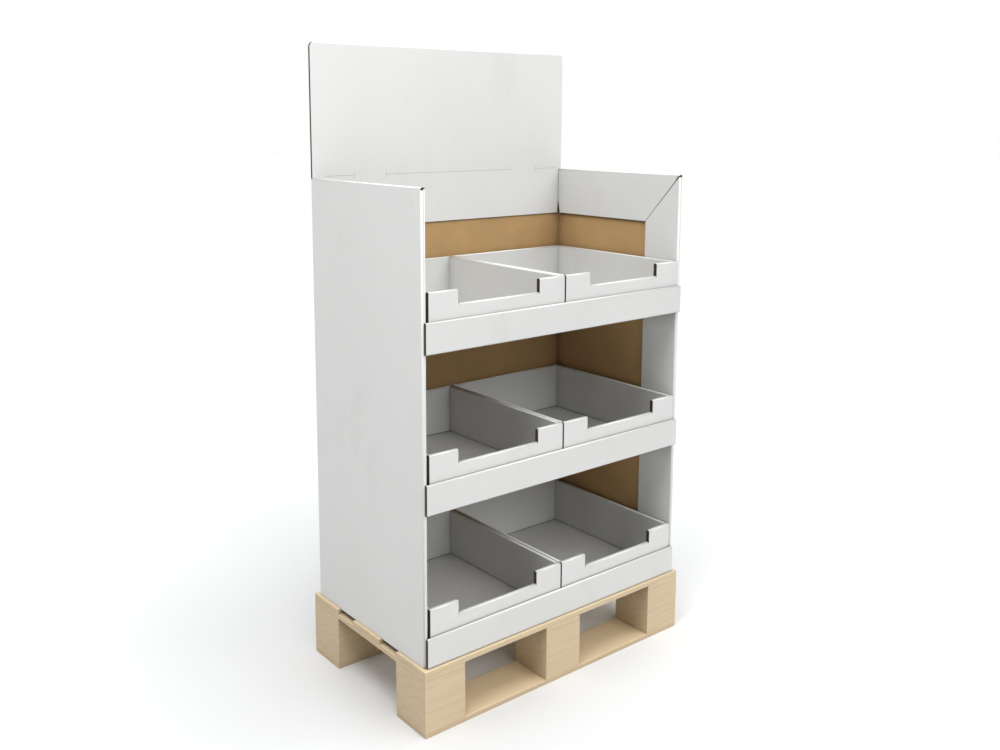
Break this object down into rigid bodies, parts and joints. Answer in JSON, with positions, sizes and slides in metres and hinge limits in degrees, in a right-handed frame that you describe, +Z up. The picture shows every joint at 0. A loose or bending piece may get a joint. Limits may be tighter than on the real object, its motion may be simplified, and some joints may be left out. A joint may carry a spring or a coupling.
{
  "type": "cardboard display stand",
  "caption": "Tiered floor display stand of folded white cardboard with loose open trays and a tall header panel, standing on a small wooden block pallet.",
  "frame": {"origin": "on the ground under the middle of the pallet", "axes": "+X to the right along the long front side, the open front faces -Y, +Z up"},
  "size_m": [0.8, 0.466, 1.481],
  "materials": {
    "mantle_board": "matte",
    "shelf_board": "matte",
    "tray_board": "matte",
    "pallet_wood": "matte",
    "nail_steel": "satin"
  },
  "bodies": {
    "root": {"mantle": "mantle_board", "pallet_block_back_left": "pallet_wood", "pallet_block_back_middle": "pallet_wood", "pallet_block_back_right": "pallet_wood", "pallet_block_front_left": "pallet_wood", "pallet_block_front_middle": "pallet_wood", "pallet_block_front_right": "pallet_wood", "pallet_cross_board_left": "pallet_wood", "pallet_cross_board_middle": "pallet_wood", "pallet_cross_board_right": "pallet_wood", "pallet_deck_board_back": "pallet_wood", "pallet_deck_board_front": "pallet_wood", "pallet_deck_board_middle": "pallet_wood", "pallet_nails": "nail_steel", "pallet_skid_back": "pallet_wood", "pallet_skid_front": "pallet_wood", "shelf_bottom": "shelf_board", "shelf_middle": "shelf_board", "shelf_top": "shelf_board", "tray_bottom_left": "tray_board", "tray_bottom_right": "tray_board", "tray_middle_left": "tray_board", "tray_middle_right": "tray_board", "tray_top_left": "tray_board", "tray_top_right": "tray_board"}
  },
  "joints": []
}
